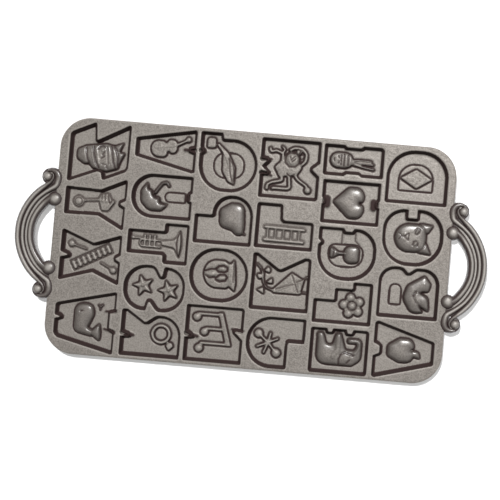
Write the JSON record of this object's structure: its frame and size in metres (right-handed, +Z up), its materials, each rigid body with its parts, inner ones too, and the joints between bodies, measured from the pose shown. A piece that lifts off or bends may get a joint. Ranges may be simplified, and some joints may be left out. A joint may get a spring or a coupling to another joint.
{
  "type": "alphabet cookie pan",
  "caption": "Flat cast iron baking pan with a letter-shaped well for every letter of the alphabet, a raised picture on each well floor and a scrolled handle at each end.",
  "frame": {"origin": "on the surface that the pan rests on, under the middle of the plate", "axes": "+X along the pan, from the last letters' end to the first letters' end; +Y across it; +Z up, out of the wells"},
  "size_m": [0.424, 0.212, 0.013],
  "materials": {
    "iron": "as cast, fine sandy grain, seasoned, taupe grey"
  },
  "bodies": {
    "root": {"handle_left": "iron", "handle_right": "iron", "pan_plate": "iron", "relief_a_apple": "iron", "relief_b_bird": "iron", "relief_c_cat": "iron", "relief_d_diamond": "iron", "relief_e_elephant": "iron", "relief_f_flower": "iron", "relief_g_goblet": "iron", "relief_h_heart": "iron", "relief_i_headdress": "iron", "relief_j_jack": "iron", "relief_k_kite": "iron", "relief_l_ladder": "iron", "relief_m_monkey": "iron", "relief_n_notes": "iron", "relief_o_owl": "iron", "relief_p_pear": "iron", "relief_q_quill": "iron", "relief_r_finger_ring": "iron", "relief_s_stars": "iron", "relief_t_trumpet": "iron", "relief_u_umbrella": "iron", "relief_v_violin": "iron", "relief_w_whale": "iron", "relief_x_xylophone": "iron", "relief_y_yo_yo": "iron", "relief_z_zebra": "iron", "well_floor_a": "iron", "well_floor_b": "iron", "well_floor_c": "iron", "well_floor_d": "iron", "well_floor_e": "iron", "well_floor_f": "iron", "well_floor_g": "iron", "well_floor_h": "iron", "well_floor_i": "iron", "well_floor_j": "iron", "well_floor_k": "iron", "well_floor_l": "iron", "well_floor_m": "iron", "well_floor_n": "iron", "well_floor_o": "iron", "well_floor_p": "iron", "well_floor_q": "iron", "well_floor_r": "iron", "well_floor_s": "iron", "well_floor_t": "iron", "well_floor_u": "iron", "well_floor_v": "iron", "well_floor_w": "iron", "well_floor_x": "iron", "well_floor_y": "iron", "well_floor_z": "iron"}
  },
  "joints": []
}
